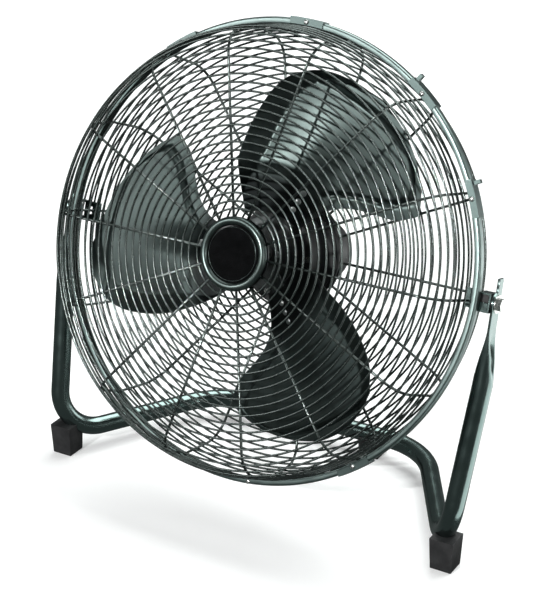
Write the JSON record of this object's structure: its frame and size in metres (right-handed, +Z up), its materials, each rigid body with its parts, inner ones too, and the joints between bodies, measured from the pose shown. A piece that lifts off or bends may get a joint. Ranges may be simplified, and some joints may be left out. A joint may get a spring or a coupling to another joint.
{
  "type": "floor fan",
  "caption": "High-velocity floor fan: a round wire cage with pitched metal blades and a rear motor, tilting between the flattened legs of a bent-tube floor stand.",
  "frame": {"origin": "on the floor, under the middle of the object's box", "axes": "+X along the tilt axis, -Y the way the fan faces, +Z up"},
  "size_m": [0.567, 0.2902, 0.5528],
  "materials": {
    "frame_paint": "semi-gloss gunmetal green-grey powder coat",
    "rim_paint": "gloss gunmetal green-grey enamel",
    "wire_paint": "semi-gloss gunmetal green-grey coat on welded wire",
    "blade_paint": "metallic green-grey coat on pressed sheet",
    "motor_paint": "satin black coat",
    "foot_rubber": "matt moulded rubber",
    "bushing_rubber": "matt moulded rubber",
    "zinc_steel": "bright zinc plate",
    "dark_steel": "dark phosphated steel",
    "spacer_plastic": "matt moulded friction disc",
    "badge_metal": "satin spun ring",
    "badge_gloss": "gloss black",
    "lamination_steel": "stacked laminations",
    "copper_winding": "varnished copper wire",
    "bearing_bronze": "oiled sintered bronze",
    "housing_plastic": "fine-grained black moulding",
    "switch_plastic": "matt moulding",
    "capacitor_plastic": "pale moulded case",
    "shaft_steel": "ground steel",
    "hub_aluminium": "as cast",
    "rivet_metal": "dull set rivets",
    "knob_plastic": "semi-gloss black moulding"
  },
  "bodies": {
    "stand": {"stand_tube": "frame_paint", "front_foot_left": "foot_rubber", "front_foot_right": "foot_rubber", "rear_foot_left": "foot_rubber", "rear_foot_right": "foot_rubber", "pivot_bolts": "zinc_steel", "pivot_washers": "zinc_steel", "pivot_spacers": "spacer_plastic", "pivot_nuts": "zinc_steel"},
    "head": {"pivot_bracket_left": "frame_paint", "pivot_bracket_right": "frame_paint", "rim_band": "rim_paint", "rim_clips": "rim_paint", "clip_screws": "zinc_steel", "front_edge_ring": "wire_paint", "rear_edge_ring": "wire_paint", "front_face_rings": "wire_paint", "front_wall_rings": "wire_paint", "front_spokes": "wire_paint", "rear_face_rings": "wire_paint", "rear_wall_rings": "wire_paint", "rear_spokes": "wire_paint", "rear_loop": "wire_paint", "badge_bezel": "badge_metal", "badge_disc": "badge_gloss", "badge_plate": "dark_steel", "badge_clamp": "dark_steel", "badge_screw": "zinc_steel", "motor_plate": "motor_paint", "plate_screws": "zinc_steel", "front_bell": "motor_paint", "rear_bell": "motor_paint", "stator_core": "lamination_steel", "stator_windings": "copper_winding", "motor_bolts": "zinc_steel", "front_bearing": "bearing_bronze", "rear_bearing": "bearing_bronze", "switch_housing": "housing_plastic", "housing_screws": "zinc_steel", "switch_body": "switch_plastic", "switch_nut": "zinc_steel", "capacitor": "capacitor_plastic", "cord_bushing": "bushing_rubber"},
    "rotor": {"motor_shaft": "shaft_steel", "rotor_core": "lamination_steel", "fan_hub": "hub_aluminium", "hub_screw": "zinc_steel", "blade_spider": "dark_steel", "blade_rivets": "rivet_metal", "blade_a": "blade_paint", "blade_b": "blade_paint", "blade_c": "blade_paint"},
    "knob": {"switch_spindle": "shaft_steel", "speed_knob": "knob_plastic"}
  },
  "joints": [
    {"name": "head_tilt", "type": "hinge", "parent": "stand", "child": "head", "pos_m": [0, 0.007, 0.2975], "axis": [-1, 0, 0], "range_deg": [-19, 71]},
    {"name": "fan_spin", "type": "hinge", "parent": "head", "child": "rotor", "pos_m": [0, -0.00907, 0.30303], "axis": [0, 0.9455, -0.3256], "continuous": true},
    {"name": "knob_turn", "type": "hinge", "parent": "head", "child": "knob", "pos_m": [0, -0.00907, 0.30303], "axis": [0, -0.9455, 0.3256], "range_deg": [0, 135]}
  ]
}
